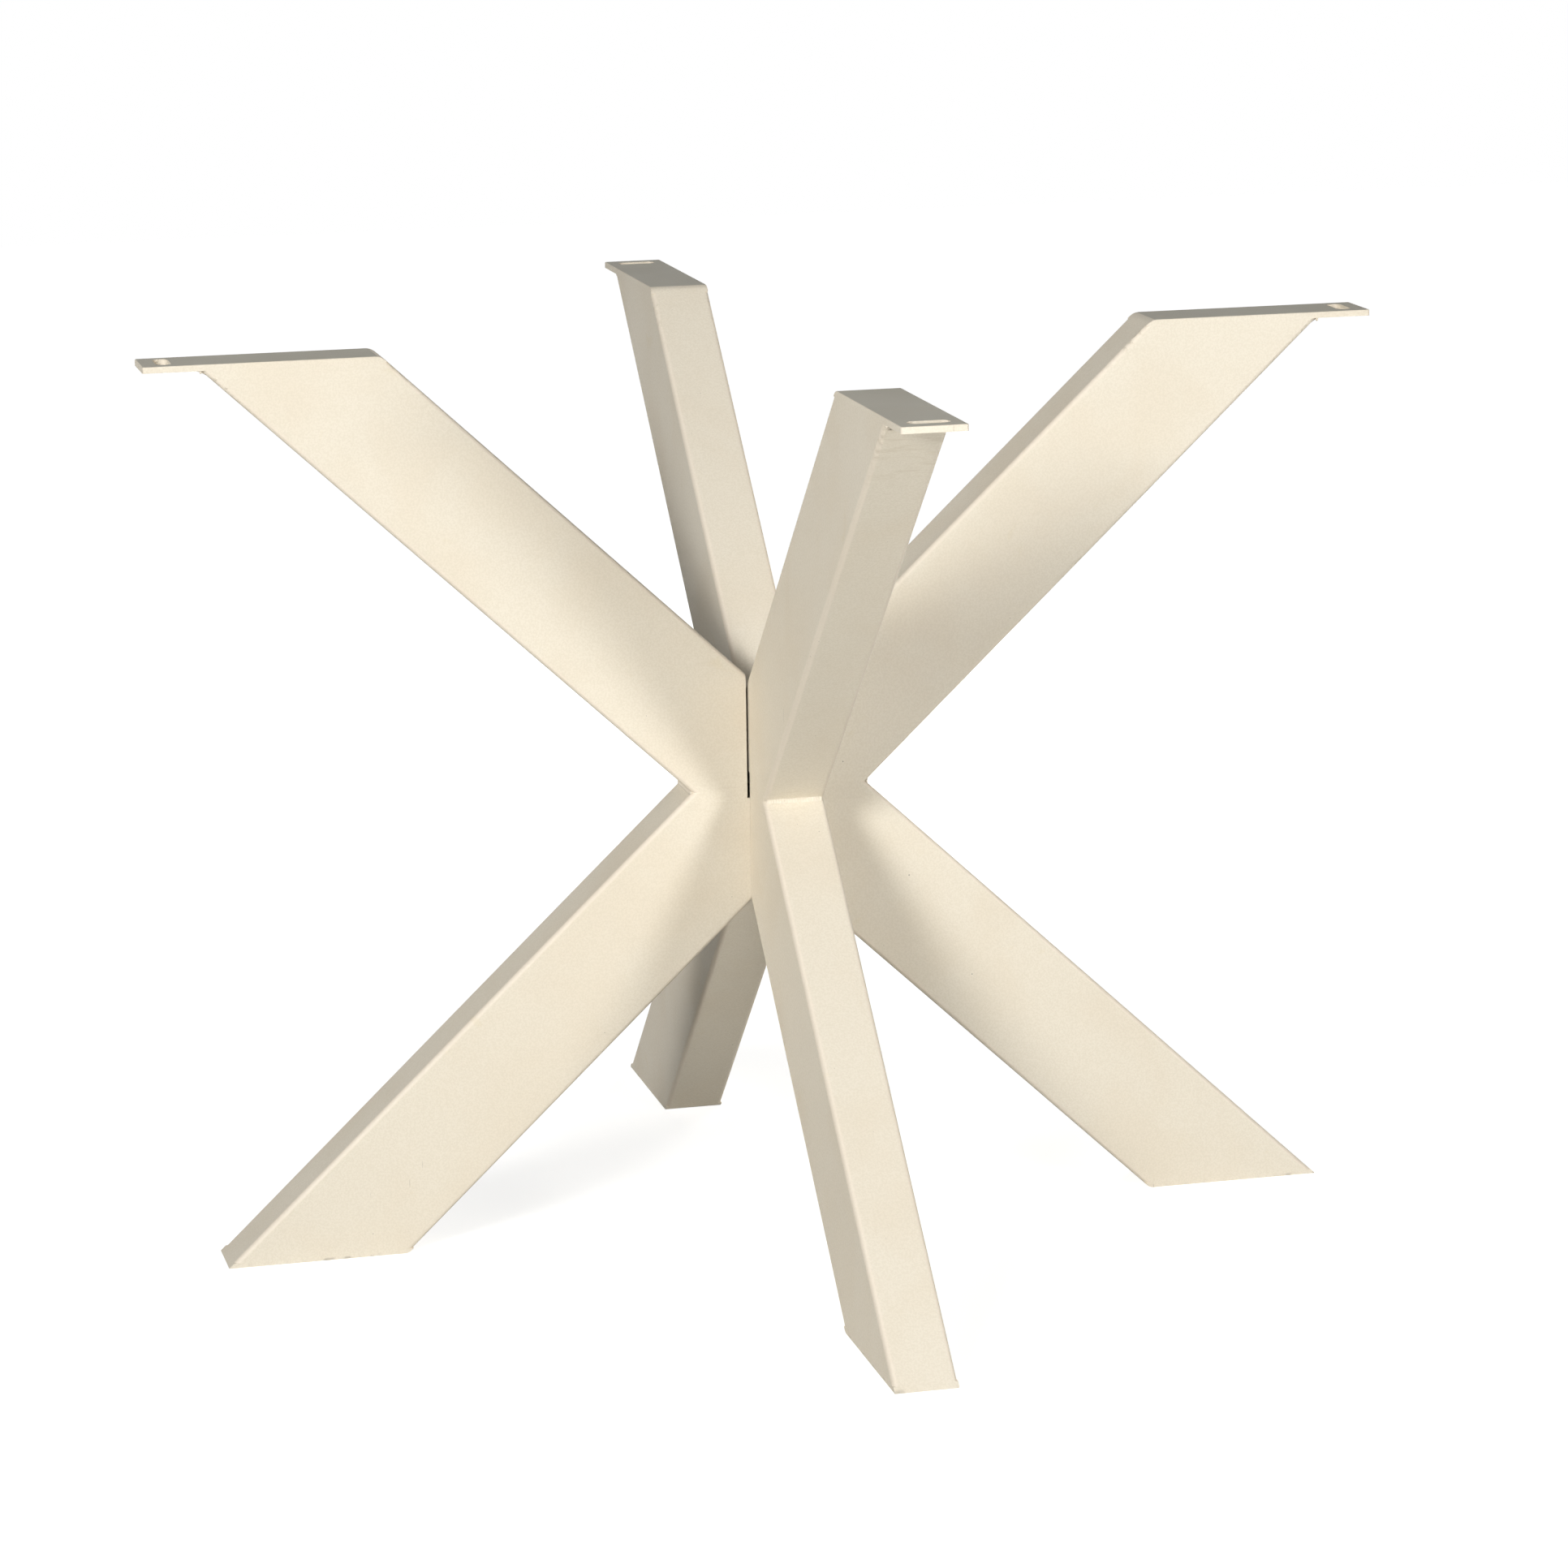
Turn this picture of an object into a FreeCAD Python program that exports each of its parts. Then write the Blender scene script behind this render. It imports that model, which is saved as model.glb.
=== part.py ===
"""X shaped table base, welded from rectangular steel tube, in millimetres.

Two flat X frames stand upright and cross at the middle. The side frame lies
along X and carries the left and right legs. The cross frame lies along Y and
carries the front and back legs. Each leg is a pair of straight tubes that meet
at a level mitre at the waist: one rises outwards to a mounting plate, the
other runs outwards down to the floor. The frames are half lapped: the side
frame is slotted from above and the cross frame from below, so that one drops
over the other. The origin is on the floor, on the vertical centre line.

Every leg is drawn once, reaching out along +X, and is then turned about Z.
"""

import FreeCAD, Part
import math
import os

import Sketcher

# Driving dimensions, in millimetres

SIZES = [
    ("overall_height", 730.0, "floor to the top of the mounting plates"),
    ("arm_half_span", 460.0, "centre line to the outer face of an arm at floor and top level"),
    ("waist_half_span", 72.0, "centre line to the outer face at the waist"),
    ("waist_height", 365.0, "floor to the mitre at the waist"),
    ("tube_depth", 100.0, "tube section, in the plane of its frame"),
    ("tube_width", 50.0, "tube section, across its frame"),
    ("tube_wall", 2.0, "wall of the tube"),
    ("tube_corner", 4.0, "outer corner radius of the tube"),
    ("plate_thickness", 5.0, "mounting plate"),
    ("tab_reach", 40.0, "mounting plate, out past the outer face of its arm"),
    ("plate_nose_round", 12.0, "rounding of a mounting plate into the arm's upper face"),
    ("plate_corner_round", 2.0, "vertical corners of a mounting plate's tab"),
    ("plate_edge_round", 1.0, "upper rim of a mounting plate"),
    ("slot_length", 32.0, "screw slot, across the plate"),
    ("slot_width", 12.0, "screw slot, along the plate"),
    ("slot_setback", 18.0, "end of the tab to the middle of the slot"),
    ("foot_plate_thickness", 4.0, "closing plate under a foot"),
    ("foot_heel_round", 8.0, "rounding of a foot plate into the arm's lower face"),
    ("side_lap_drop", 7.0, "waist down to the bottom of the side frame's slot"),
    ("cross_lap_rise", 14.0, "waist up to the top of the cross frame's slot"),
    ("side_lap_clearance", 2.0, "side frame's slot, each side of the cross frame"),
    ("cross_lap_clearance", 0.3, "cross frame's slot, each side of the side frame"),
    ("tab_weld_leg", 7.0, "fillet weld under a tab"),
    ("waist_weld_leg", 3.0, "fillet weld in the valley of a waist"),
]

LEGS = [("right", 0.0), ("back", 90.0), ("left", 180.0), ("front", 270.0)]
SIDE_FRAME_LEGS = ("right", "left")

TOLERANCE = 1e-4

doc = FreeCAD.newDocument("TableBase")
sheet = doc.addObject("Spreadsheet::Sheet", "Sizes")
for row, (alias, value, note) in enumerate(SIZES, start=1):
    sheet.set(f"A{row}", alias)
    sheet.set(f"B{row}", str(value))
    sheet.set(f"C{row}", note)
    sheet.setAlias(f"B{row}", alias)
doc.recompute()
size = {alias: float(sheet.get(alias)) for alias, _, _ in SIZES}


# Sketches: a closed outline whose corners are tied to the sheet

class Outline:
    """A sketch on a body's upright XZ plane, with x outwards and y upwards."""

    def __init__(self, body, name):
        self.sketch = body.newObject("Sketcher::SketchObject", name)
        attach(self.sketch, body, "XZ_Plane")

    def line(self, start, end, construction=False):
        points = [FreeCAD.Vector(x, y, 0) for x, y in (start, end)]
        return self.sketch.addGeometry(Part.LineSegment(*points), construction)

    def polygon(self, corners):
        """Adds a closed outline and returns its sides: side i starts at corner i."""
        ends = corners[1:] + corners[:1]
        sides = [self.line(a, b) for a, b in zip(corners, ends)]
        for side, following in zip(sides, sides[1:] + sides[:1]):
            self.tie("Coincident", side, 2, following, 1)
        return sides

    def tie(self, kind, *where):
        self.sketch.addConstraint(Sketcher.Constraint(kind, *where))

    def measure(self, kind, where, value, formula):
        """Adds a dimension whose value follows the sheet."""
        number = self.sketch.addConstraint(Sketcher.Constraint(kind, *where, value))
        self.sketch.setExpression(f"Constraints[{number}]", formula)

    def out(self, point, value, formula):
        """Sets a point's distance outwards from the centre line."""
        self.measure("DistanceX", (-1, 1, *point), value, formula)

    def up(self, point, value, formula):
        """Sets a point's height above the floor."""
        self.measure("DistanceY", (-1, 1, *point), value, formula)


def attach(sketch, body, role):
    plane = next(p for p in body.Origin.OriginFeatures if p.Role == role)
    sketch.AttachmentSupport = [(plane, "")]
    sketch.MapMode = "FlatFace"


# The arm's straight lines, as numbers to start the sketches from

class ArmLine:
    """The outer face of an arm, seen from the side, from the waist to its end."""

    def __init__(self, upper):
        self.waist = (size["waist_half_span"], size["waist_height"])
        self.reach = (size["arm_half_span"], size["overall_height"] if upper else 0.0)
        run = self.reach[0] - self.waist[0]
        rise = self.reach[1] - self.waist[1]
        length = math.hypot(run, rise)
        self.along = (run / length, rise / length)
        self.inwards = (-abs(rise) / length, math.copysign(run / length, rise))

    def at_height(self, depth, height):
        """The point at this height on the line that lies this deep in the arm."""
        x = self.waist[0] + depth * self.inwards[0]
        y = self.waist[1] + depth * self.inwards[1]
        step = (height - y) / self.along[1]
        return (x + step * self.along[0], height)

    def at_reach(self, depth, reach):
        """The point this far from the centre line on the line that lies this deep."""
        x = self.waist[0] + depth * self.inwards[0]
        y = self.waist[1] + depth * self.inwards[1]
        step = (reach - x) / self.along[0]
        return (reach, y + step * self.along[1])


def add_guide(outline, line, upper):
    """Adds the construction line of the arm's outer face, tied to the sheet."""
    guide = outline.line(line.waist, line.reach, construction=True)
    outline.out((guide, 1), line.waist[0], "Sizes.waist_half_span")
    outline.up((guide, 1), line.waist[1], "Sizes.waist_height")
    outline.out((guide, 2), line.reach[0], "Sizes.arm_half_span")
    if upper:
        outline.up((guide, 2), line.reach[1], "Sizes.overall_height")
    else:
        outline.tie("PointOnObject", guide, 2, -1)
    return guide


def pad_symmetric(body, name, outline, width, formula):
    pad = body.newObject("PartDesign::Pad", name)
    pad.Profile = outline.sketch
    pad.SideType = "Symmetric"
    pad.Length = width
    pad.setExpression("Length", formula)
    outline.sketch.Visibility = False
    return pad


def round_edges(body, name, edges, radius, formula):
    base = body.Tip
    fillet = body.newObject("PartDesign::Fillet", name)
    fillet.Base = (base, edges)
    fillet.Radius = radius
    fillet.setExpression("Radius", formula)
    doc.recompute()
    return fillet


def edges_where(shape, test):
    return [f"Edge{i}" for i, edge in enumerate(shape.Edges, start=1) if test(edge)]


def runs_along(edge, direction):
    """Whether an edge is straight and parallel to a direction in the upright plane."""
    if not isinstance(edge.Curve, Part.Line):
        return False
    ends = [vertex.Point for vertex in edge.Vertexes]
    step = (ends[1] - ends[0]).normalize()
    return abs(step.dot(FreeCAD.Vector(direction[0], 0, direction[1]))) > 1 - TOLERANCE


def new_body(label, angle):
    body = doc.addObject("PartDesign::Body", label)
    body.Label = label
    turn = FreeCAD.Rotation(FreeCAD.Vector(0, 0, 1), angle)
    body.Placement = FreeCAD.Placement(FreeCAD.Vector(0, 0, 0), turn)
    return body


# Arms: mitred rectangular tube, with the half lap cut into its inner end

def arm_outline(body, leg, upper, line):
    """Draws the arm from the side: outer face, plate end, inner face, lap and mitre."""
    outline = Outline(body, f"{body.Label}_outline")
    guide = add_guide(outline, line, upper)
    side_frame = leg in SIDE_FRAME_LEGS
    frame = "side" if side_frame else "cross"
    ends_at_lap = side_frame == upper
    if upper:
        end_height = size["overall_height"] - size["plate_thickness"]
        end_formula = "Sizes.overall_height - Sizes.plate_thickness"
    else:
        end_height = size["foot_plate_thickness"]
        end_formula = "Sizes.foot_plate_thickness"
    lap_reach = size["tube_width"] / 2 + size[f"{frame}_lap_clearance"]
    lap_formula = f"Sizes.tube_width / 2 + Sizes.{frame}_lap_clearance"
    if side_frame:
        step_height = size["waist_height"] - size["side_lap_drop"]
        step_formula = "Sizes.waist_height - Sizes.side_lap_drop"
    else:
        step_height = size["waist_height"] + size["cross_lap_rise"]
        step_formula = "Sizes.waist_height + Sizes.cross_lap_rise"

    depth = size["tube_depth"]
    corners = [line.waist, line.at_height(0.0, end_height), line.at_height(depth, end_height)]
    if ends_at_lap:
        corners += [line.at_reach(depth, lap_reach), (lap_reach, size["waist_height"])]
    else:
        corners += [line.at_reach(depth, 0.0), (0.0, step_height)]
        corners += [(lap_reach, step_height), (lap_reach, size["waist_height"])]
    sides = outline.polygon(corners)
    outer, end, inner, flank = sides[:4]
    mitre = sides[-1]

    outline.tie("Coincident", outer, 1, guide, 1)
    outline.tie("PointOnObject", outer, 2, guide)
    outline.up((outer, 2), end_height, end_formula)
    outline.tie("Horizontal", end)
    outline.tie("Parallel", inner, guide)
    outline.measure("Distance", (inner, 1, guide), depth, "Sizes.tube_depth")
    outline.tie("Vertical", flank)
    outline.tie("Horizontal", mitre)
    if ends_at_lap:
        outline.out((flank, 2), lap_reach, lap_formula)
    else:
        step, riser = sides[4:6]
        outline.tie("PointOnObject", flank, 2, -2)
        outline.up((flank, 2), step_height, step_formula)
        outline.tie("Horizontal", step)
        outline.tie("Vertical", riser)
        outline.out((riser, 2), lap_reach, lap_formula)
    return outline


def bore_outline(body, upper, line):
    """Draws the inside of the tube from the side, run out past both ends."""
    outline = Outline(body, f"{body.Label}_bore_outline")
    guide = add_guide(outline, line, upper)
    wall = size["tube_wall"]
    far_wall = size["tube_depth"] - wall
    past_centre = -size["tube_width"]
    past_end = line.reach[1]
    corners = [
        line.at_reach(wall, past_centre),
        line.at_height(wall, past_end),
        line.at_height(far_wall, past_end),
        line.at_reach(far_wall, past_centre),
    ]
    near, end, far, _ = outline.polygon(corners)
    outline.tie("Parallel", near, guide)
    outline.measure("Distance", (near, 2, guide), wall, "Sizes.tube_wall")
    outline.tie("Parallel", far, guide)
    outline.measure("Distance", (far, 1, guide), far_wall, "Sizes.tube_depth - Sizes.tube_wall")
    outline.tie("Horizontal", end)
    if upper:
        outline.up((end, 1), past_end, "Sizes.overall_height")
    else:
        outline.tie("PointOnObject", end, 1, -1)
    for point in ((near, 1), (far, 2)):
        outline.measure("DistanceX", (*point, -1, 1), -past_centre, "Sizes.tube_width")
    return outline


def make_arm(leg, angle, upper):
    line = ArmLine(upper)
    body = new_body(f"{leg}_{'upper' if upper else 'lower'}_arm", angle)
    outline = arm_outline(body, leg, upper, line)
    pad = pad_symmetric(body, f"{body.Label}_tube", outline, size["tube_width"], "Sizes.tube_width")
    doc.recompute()
    long_edges = edges_where(pad.Shape, lambda edge: runs_along(edge, line.along))
    round_edges(body, f"{body.Label}_corners", long_edges, size["tube_corner"], "Sizes.tube_corner")
    solid_volume = body.Shape.Volume

    bore_sketch = bore_outline(body, upper, line).sketch
    bore = body.newObject("PartDesign::Pocket", f"{body.Label}_bore")
    bore.Profile = bore_sketch
    bore.SideType = "Symmetric"
    bore.setExpression("Length", "Sizes.tube_width - 2 * Sizes.tube_wall")
    bore_sketch.Visibility = False
    doc.recompute()
    if body.Shape.Volume > solid_volume / 2:
        raise RuntimeError(f"the bore of {body.Label} cuts nothing")

    bore_edges = edges_where(
        body.Tip.Shape, lambda edge: runs_along(edge, line.along) and on_bore_corner(edge, line))
    round_edges(body, f"{body.Label}_bore_corners", bore_edges,
                size["tube_corner"] - size["tube_wall"], "Sizes.tube_corner - Sizes.tube_wall")
    return body


def on_bore_corner(edge, line):
    """Whether a long edge lies one wall deep in the arm, from its faces and its sides."""
    point = edge.Vertexes[0].Point
    if abs(abs(point.y) - size["tube_width"] / 2 + size["tube_wall"]) > TOLERANCE:
        return False
    depth = (point.x - line.waist[0]) * line.inwards[0] + (point.z - line.waist[1]) * line.inwards[1]
    near, far = size["tube_wall"], size["tube_depth"] - size["tube_wall"]
    return min(abs(depth - near), abs(depth - far)) < TOLERANCE


# Mounting plates: flat bar over the end of an upper arm, with a slotted tab

def make_top_plate(leg, angle):
    line = ArmLine(True)
    body = new_body(f"{leg}_top_plate", angle)
    top = size["overall_height"]
    underside = top - size["plate_thickness"]
    tip = size["arm_half_span"] + size["tab_reach"]
    depth = size["tube_depth"]

    outline = Outline(body, f"{body.Label}_outline")
    guide = add_guide(outline, line, True)
    corners = [(tip, underside), (tip, top), line.at_height(depth, top), line.at_height(depth, underside)]
    end, upper_face, slope, lower_face = outline.polygon(corners)
    outline.tie("Vertical", end)
    outline.tie("Horizontal", upper_face)
    outline.tie("Horizontal", lower_face)
    outline.out((end, 1), tip, "Sizes.arm_half_span + Sizes.tab_reach")
    outline.up((end, 2), top, "Sizes.overall_height")
    outline.measure("Distance", (end,), size["plate_thickness"], "Sizes.plate_thickness")
    outline.tie("Parallel", slope, guide)
    outline.measure("Distance", (slope, 2, guide), depth, "Sizes.tube_depth")
    pad = pad_symmetric(body, f"{body.Label}_bar", outline, size["tube_width"], "Sizes.tube_width")
    doc.recompute()

    nose_reach = line.at_height(depth, top)[0]
    nose = edges_where(pad.Shape, lambda edge: lies_at(edge, nose_reach, top))
    slope_angle = ("atan((Sizes.overall_height - Sizes.waist_height)"
                   " / (Sizes.arm_half_span - Sizes.waist_half_span))")
    nose_room = (f"(Sizes.plate_thickness / sin({slope_angle}) - 2 * Sizes.plate_edge_round)"
                 f" / tan({slope_angle} / 2)")
    round_edges(body, f"{body.Label}_nose", nose, size["plate_nose_round"],
                f"min(Sizes.plate_nose_round; {nose_room})")
    uprights = edges_where(
        body.Tip.Shape,
        lambda edge: runs_along(edge, (0, 1)) and abs(edge.Vertexes[0].X - tip) < TOLERANCE)
    round_edges(body, f"{body.Label}_tab_corners", uprights,
                size["plate_corner_round"], "Sizes.plate_corner_round")
    rim = edges_where(
        body.Tip.Shape, lambda edge: abs(edge.BoundBox.ZMin - top) < TOLERANCE
        and edge.BoundBox.XMax > nose_reach + size["plate_nose_round"])
    round_edges(body, f"{body.Label}_rim", rim, size["plate_edge_round"], "Sizes.plate_edge_round")

    cut_slot(body)
    return body


def lies_at(edge, reach, height):
    """Whether an edge runs straight across the frame at this reach and height."""
    ends = [vertex.Point for vertex in edge.Vertexes]
    return all(abs(end.x - reach) < TOLERANCE and abs(end.z - height) < TOLERANCE for end in ends)


def cut_slot(body):
    """Cuts the screw slot: two half rounds joined by straight sides, across the tab."""
    sketch = body.newObject("Sketcher::SketchObject", f"{body.Label}_slot_outline")
    attach(sketch, body, "XY_Plane")
    sketch.AttachmentOffset = FreeCAD.Placement(
        FreeCAD.Vector(0, 0, size["overall_height"]), FreeCAD.Rotation())
    sketch.setExpression("AttachmentOffset.Base.z", "Sizes.overall_height")
    middle = size["arm_half_span"] + size["tab_reach"] - size["slot_setback"]
    radius = size["slot_width"] / 2
    reach = size["slot_length"] / 2 - radius
    corners = [(middle + x * radius, y * reach) for x, y in ((1, 1), (-1, 1), (-1, -1), (1, -1))]
    points = [FreeCAD.Vector(x, y, 0) for x, y in corners]
    ends = [half_round(sketch, middle, side * reach, radius, start)
            for side, start in ((1, 0.0), (-1, math.pi))]
    inner = sketch.addGeometry(Part.LineSegment(points[1], points[2]), False)
    outer = sketch.addGeometry(Part.LineSegment(points[3], points[0]), False)
    loop = [ends[0], inner, ends[1], outer]
    for item, following in zip(loop, loop[1:] + loop[:1]):
        sketch.addConstraint(Sketcher.Constraint("Tangent", item, 2, following, 1))
    sketch.addConstraint(Sketcher.Constraint("Vertical", inner))
    sketch.addConstraint(Sketcher.Constraint("Symmetric", ends[0], 3, ends[1], 3, -1))
    for kind, where, value, formula in (
        ("Radius", (ends[0],), radius, "Sizes.slot_width / 2"),
        ("DistanceX", (-1, 1, ends[0], 3), middle,
         "Sizes.arm_half_span + Sizes.tab_reach - Sizes.slot_setback"),
        ("DistanceY", (ends[1], 3, ends[0], 3), 2 * reach, "Sizes.slot_length - Sizes.slot_width"),
    ):
        number = sketch.addConstraint(Sketcher.Constraint(kind, *where, value))
        sketch.setExpression(f"Constraints[{number}]", formula)
    whole = body.Shape.Volume
    slot = body.newObject("PartDesign::Pocket", f"{body.Label}_slot")
    slot.Profile = sketch
    slot.Type = "ThroughAll"
    sketch.Visibility = False
    doc.recompute()
    if body.Shape.Volume > whole - size["slot_width"] * reach * size["plate_thickness"]:
        raise RuntimeError(f"the slot of {body.Label} cuts nothing")


def half_round(sketch, x, y, radius, start):
    circle = Part.Circle(FreeCAD.Vector(x, y, 0), FreeCAD.Vector(0, 0, 1), radius)
    return sketch.addGeometry(Part.ArcOfCircle(circle, start, start + math.pi), False)


# Foot plates: they close the lower arms, flush with the tube all round

def make_foot_plate(leg, angle):
    line = ArmLine(False)
    body = new_body(f"{leg}_foot_plate", angle)
    top = size["foot_plate_thickness"]
    depth = size["tube_depth"]
    outline = Outline(body, f"{body.Label}_outline")
    guide = add_guide(outline, line, False)
    corners = [line.reach] + [line.at_height(*point) for point in ((depth, 0.0), (depth, top), (0.0, top))]
    sole, heel, upper_face, toe = outline.polygon(corners)
    outline.tie("Coincident", sole, 1, guide, 2)
    outline.tie("PointOnObject", sole, 2, -1)
    outline.tie("Parallel", heel, guide)
    outline.measure("Distance", (heel, 1, guide), depth, "Sizes.tube_depth")
    outline.tie("Horizontal", upper_face)
    outline.tie("PointOnObject", toe, 1, guide)
    outline.up((toe, 1), top, "Sizes.foot_plate_thickness")
    pad = pad_symmetric(body, f"{body.Label}_plate", outline, size["tube_width"], "Sizes.tube_width")
    doc.recompute()
    heel_reach = line.at_height(depth, 0.0)[0]
    heel_edge = edges_where(pad.Shape, lambda edge: lies_at(edge, heel_reach, 0.0))
    round_edges(body, f"{body.Label}_heel", heel_edge, size["foot_heel_round"], "Sizes.foot_heel_round")
    return body


# Welds: the fillets that show under each tab and in each waist

def make_bead(label, angle, corner, first, second, leg, formula, ties):
    """A bead of triangular section that fills a corner, between the tube's round edges."""
    body = new_body(label, angle)
    outline = Outline(body, f"{label}_outline")
    points = [corner]
    for direction in (first, second):
        points.append((corner[0] + leg * direction[0], corner[1] + leg * direction[1]))
    sides = outline.polygon(points)
    ties(outline, sides)
    outline.measure("Distance", (sides[0],), leg, formula)
    outline.measure("Distance", (sides[2],), leg, formula)
    width = size["tube_width"] - 2 * size["tube_corner"]
    pad_symmetric(body, f"{label}_bead", outline, width, "Sizes.tube_width - 2 * Sizes.tube_corner")
    return body


def make_tab_weld(leg, angle):
    line = ArmLine(True)
    underside = size["overall_height"] - size["plate_thickness"]

    def ties(outline, sides):
        guide = add_guide(outline, line, True)
        outline.tie("Horizontal", sides[0])
        outline.tie("PointOnObject", sides[0], 1, guide)
        outline.up((sides[0], 1), underside, "Sizes.overall_height - Sizes.plate_thickness")
        outline.tie("PointOnObject", sides[2], 1, guide)

    down = (-line.along[0], -line.along[1])
    corner = line.at_height(0.0, underside)
    return make_bead(f"{leg}_tab_weld", angle, corner, (1.0, 0.0), down,
                     size["tab_weld_leg"], "Sizes.tab_weld_leg", ties)


def make_waist_weld(leg, angle):
    above, below = ArmLine(True), ArmLine(False)

    def ties(outline, sides):
        upper_guide = add_guide(outline, above, True)
        lower_guide = outline.line(below.waist, below.reach, construction=True)
        outline.tie("Coincident", lower_guide, 1, upper_guide, 1)
        outline.tie("PointOnObject", lower_guide, 2, -1)
        outline.out((lower_guide, 2), below.reach[0], "Sizes.arm_half_span")
        outline.tie("Coincident", sides[0], 1, upper_guide, 1)
        outline.tie("PointOnObject", sides[0], 2, lower_guide)
        outline.tie("PointOnObject", sides[2], 1, upper_guide)

    return make_bead(f"{leg}_waist_weld", angle, above.waist, below.along, above.along,
                     size["waist_weld_leg"], "Sizes.waist_weld_leg", ties)


# The whole base

parts = []
for leg_name, leg_angle in LEGS:
    parts.append(make_arm(leg_name, leg_angle, upper=True))
    parts.append(make_arm(leg_name, leg_angle, upper=False))
    parts.append(make_top_plate(leg_name, leg_angle))
    parts.append(make_foot_plate(leg_name, leg_angle))
    parts.append(make_tab_weld(leg_name, leg_angle))
    parts.append(make_waist_weld(leg_name, leg_angle))
doc.recompute()

for item in doc.Objects:
    if "Invalid" in item.State or "Error" in item.State:
        raise RuntimeError(f"{item.Label} failed: {item.State}")
    if item.TypeId == "Sketcher::SketchObject" and not item.FullyConstrained:
        raise RuntimeError(f"{item.Label} is not fully constrained")
for body in parts:
    if body.Shape.isNull() or not body.Shape.isValid() or len(body.Shape.Solids) != 1:
        raise RuntimeError(f"{body.Label} is not one valid solid")

os.makedirs("parts", exist_ok=True)
for body in parts:
    body.Shape.exportStep(f"parts/{body.Label}.step")
    print(f"{body.Label}: {body.Shape.Volume / 1000:.1f} cm3")
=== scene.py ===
"""X shaped table base in powder coated steel: finish, weld beads, stage and camera.

The tubes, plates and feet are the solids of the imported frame. This script coats
them and lays the weld beads that hold them together. Every bead is a surface
worked out on a grid, in metres, with X along the side frame, Y along the cross
frame and Z up from the floor.
"""

import math

import bpy
import numpy as np
from bpy.props import (
    FloatProperty,
    FloatVectorProperty,
    PointerProperty,
)
from bpy.types import Operator, Panel, PropertyGroup
from mathutils import Matrix, Vector


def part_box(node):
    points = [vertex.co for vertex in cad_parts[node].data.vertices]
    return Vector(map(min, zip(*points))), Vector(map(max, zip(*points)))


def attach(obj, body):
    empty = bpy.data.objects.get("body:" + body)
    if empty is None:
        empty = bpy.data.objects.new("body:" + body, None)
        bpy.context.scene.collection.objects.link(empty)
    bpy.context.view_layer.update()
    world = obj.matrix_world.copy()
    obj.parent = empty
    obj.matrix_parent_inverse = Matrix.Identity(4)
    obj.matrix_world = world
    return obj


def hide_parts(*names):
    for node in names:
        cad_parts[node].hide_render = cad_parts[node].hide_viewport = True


bl_info = {
    "name": "X Table Base",
    "version": (1, 0, 0),
    "blender": (4, 5, 0),
    "location": "3D View > Sidebar > Table Base",
    "description": "Coats a welded steel table base and lays its weld beads",
    "category": "Object",
}

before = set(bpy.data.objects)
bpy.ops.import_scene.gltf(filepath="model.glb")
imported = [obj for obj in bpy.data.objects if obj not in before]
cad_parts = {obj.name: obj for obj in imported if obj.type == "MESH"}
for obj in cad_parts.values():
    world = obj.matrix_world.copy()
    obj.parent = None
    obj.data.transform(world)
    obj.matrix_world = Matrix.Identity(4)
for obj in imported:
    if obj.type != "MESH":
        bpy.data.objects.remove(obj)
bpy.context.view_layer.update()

BODY = "root"
MM = 0.001

# Softboxes round the middle of the base: name, degrees from -Y towards +X, degrees
# up, distance and side in metres, watts, and whether it shows in a gloss. The two
# at the sides throw the front leg's shadows on the side frame, the one above lifts
# the faces that look up, and the low one behind lights the sides turned from the camera.
SOFTBOXES = (
    ("softbox_left", -42.0, 23.0, 5.0, 1.15, 163.0, True),
    ("softbox_right", 28.0, 8.0, 3.2, 0.6, 38.0, True),
    ("softbox_above", 8.0, 48.0, 5.5, 2.6, 42.0, True),
    ("softbox_back", 142.0, 3.0, 2.6, 0.8, 48.0, False),
)

LAMP_AIM = 0.36     # height in metres that the softboxes point at
GLOW_INNER = 0.8    # metres from the middle, where the floor starts to turn plain white
GLOW_OUTER = 2.0    # metres from the middle, where it is plain white

# Beads: how much shorter each is than its tube is wide, and the hollow of its
# section, which is 1 for a flat one
BEADS = {"tab": (4 * MM, 1.7), "waist": (3 * MM, 1.25), "crotch": (6 * MM, 1.4)}

# How a bead's leg wanders along it: share of the leg, and length of one swing
WANDERS = ((0.05, 13 * MM), (0.03, 5.3 * MM))
RIPPLE_BOW = 1.4    # bow of a ripple's arc, in quarters of the ripple pitch
ROOT_WIDTH = 0.9    # a bead's root, as a share of the width of its face
LUMP_SIZE = 3 * MM  # lumps in the coat over a bead

# Stops of a tab's fillet: side of the tab and size, and how far the middle of one
# stands out from the corner, in from the tube's side and down from the tab
STOPS = ((-1, 1.0), (1, 0.85))
STOP_PLACE = (0.3 * MM, 1.8 * MM, 1.2 * MM)

# Quarter turns about Z that carry a shape drawn along +X to each leg
LEGS = {"right": 0, "back": 1, "left": 2, "front": 3}


# Colours

def linear(hex_colour):
    """Turns an sRGB hex colour into linear RGBA."""
    code = hex_colour.lstrip("#")
    channels = [int(code[i:i + 2], 16) / 255 for i in (0, 2, 4)]
    curved = [c / 12.92 if c <= 0.04045 else ((c + 0.055) / 1.055) ** 2.4 for c in channels]
    return (*curved, 1.0)


def colour_property(name, description, hex_colour):
    """A colour that a user may change, given as sRGB hex."""
    return FloatVectorProperty(
        name=name, description=description, default=linear(hex_colour),
        size=4, min=0.0, max=1.0, subtype="COLOR")


def length_property(name, description, millimetres):
    """A length that a user may change, given in millimetres."""
    return FloatProperty(
        name=name, description=description, default=millimetres * MM,
        min=0.0, unit="LENGTH", precision=5)


# Sizes of the solids, read off the frame

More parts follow.
